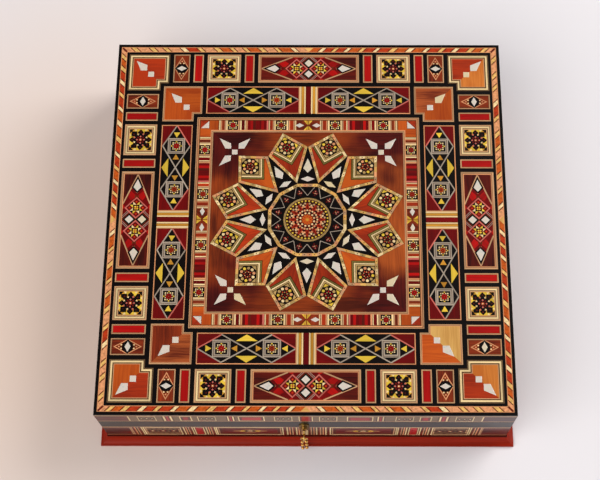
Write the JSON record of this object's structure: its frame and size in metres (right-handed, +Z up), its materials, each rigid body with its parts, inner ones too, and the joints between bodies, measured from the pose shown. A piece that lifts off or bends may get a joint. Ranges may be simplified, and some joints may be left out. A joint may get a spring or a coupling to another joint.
{
  "type": "inlaid wooden box",
  "caption": "Low square keepsake box of wood marquetry with mother-of-pearl inlay, hinged lid, small lock, key and velvet lining.",
  "frame": {"origin": "centre of the underside, on the surface that the box rests on", "axes": "+Z up, -Y is the front with the lock, +Y is the hinged back, +X is the right side"},
  "size_m": [0.292, 0.2965, 0.0675],
  "materials": {
    "softwood": "plain sanded board",
    "felt": "thin wool felt",
    "mahogany": "red-stained moulding under gloss lacquer",
    "walnut": "dark stained wood, satin",
    "side_mosaic": "wood mosaic veneer under gloss lacquer",
    "ebony": "black wood under gloss lacquer",
    "velvet": "short pile velvet",
    "stringing": "pale and orange woods cut in slanting blocks, lacquered",
    "orange_wood": "orange-red wood veneer, lacquered",
    "red_wood": "dark red wood veneer, lacquered",
    "khatam": "fine star mosaic of cream, red, yellow and black woods, lacquered",
    "pearl": "mother-of-pearl, polished",
    "brass": "polished brass",
    "aged_brass": "brass, dulled",
    "steel": "bright steel",
    "gilt": "gilt beads and wire"
  },
  "bodies": {
    "box_body": {"base_board": "softwood", "base_felt": "felt", "plinth_front": "mahogany", "plinth_back": "mahogany", "plinth_left": "mahogany", "plinth_right": "mahogany", "wall_front": "walnut", "wall_back": "walnut", "wall_left": "walnut", "wall_right": "walnut", "body_mosaic_front": "side_mosaic", "body_mosaic_back": "side_mosaic", "body_mosaic_left": "side_mosaic", "body_mosaic_right": "side_mosaic", "rim_edging": "ebony", "wall_linings": "velvet", "floor_pad": "velvet", "hinge_left_body_leaf": "brass", "hinge_right_body_leaf": "brass", "hinge_pins": "brass", "body_screws": "brass", "lock_case": "aged_brass", "lock_cover": "brass", "keyhole_plate": "aged_brass"},
    "lid": {"lid_board": "softwood", "lid_rail_front": "walnut", "lid_rail_back": "walnut", "lid_rail_left": "walnut", "lid_rail_right": "walnut", "lid_mosaic_front": "side_mosaic", "lid_mosaic_back": "side_mosaic", "lid_mosaic_left": "side_mosaic", "lid_mosaic_right": "side_mosaic", "lid_lining": "velvet", "ground_veneer": "ebony", "rope_stringing": "stringing", "outer_corner_tiles": "orange_wood", "inner_corner_tiles": "orange_wood", "diamond_tiles": "orange_wood", "red_bars": "red_wood", "star_tiles": "khatam", "long_panels": "red_wood", "inner_panels": "red_wood", "dividers": "red_wood", "mosaic_border": "khatam", "field_veneers": "red_wood", "petal_tiles": "orange_wood", "gap_triangles": "ebony", "ring_stringing": "stringing", "zigzag_ring": "ebony", "rosette_disc": "khatam", "pearl_inlays": "pearl", "hinge_left_lid_leaf": "brass", "hinge_right_lid_leaf": "brass", "lid_screws": "brass", "strike_plate": "brass"},
    "key": {"key": "brass"},
    "bolt": {"lock_bolt": "steel"},
    "strand_ring": {"strand_ring": "gilt"},
    "strands": {"bead_strands": "gilt"}
  },
  "joints": [
    {"name": "lid_hinge", "type": "hinge", "parent": "box_body", "child": "lid", "pos_m": [0, 0.1427, 0.04865], "axis": [-1, 0, 0], "range_deg": [0, 95]},
    {"name": "key_turn", "type": "hinge", "parent": "box_body", "child": "key", "pos_m": [-0.0015, -0.14, 0.036], "axis": [0, 1, 0], "range_deg": [-45, 45]},
    {"name": "bolt_slide", "type": "slide", "parent": "box_body", "child": "bolt", "axis": [1, 0, 0], "range_m": [-0.0032, 0.0032]},
    {"name": "ring_swivel", "type": "hinge", "parent": "key", "child": "strand_ring", "pos_m": [-0.0015, -0.1478, 0.0339], "axis": [0, 1, 0], "range_deg": [-45, 45]},
    {"name": "strands_swing", "type": "hinge", "parent": "strand_ring", "child": "strands", "pos_m": [-0.0015, -0.1478, 0.03018], "axis": [-1, 0, 0], "range_deg": [-2, 70]}
  ],
  "couplings": [
    {"joint": "key_turn", "follows": "bolt_slide", "rad_per_m": 245.43},
    {"joint": "ring_swivel", "follows": "bolt_slide", "rad_per_m": -245.43}
  ]
}
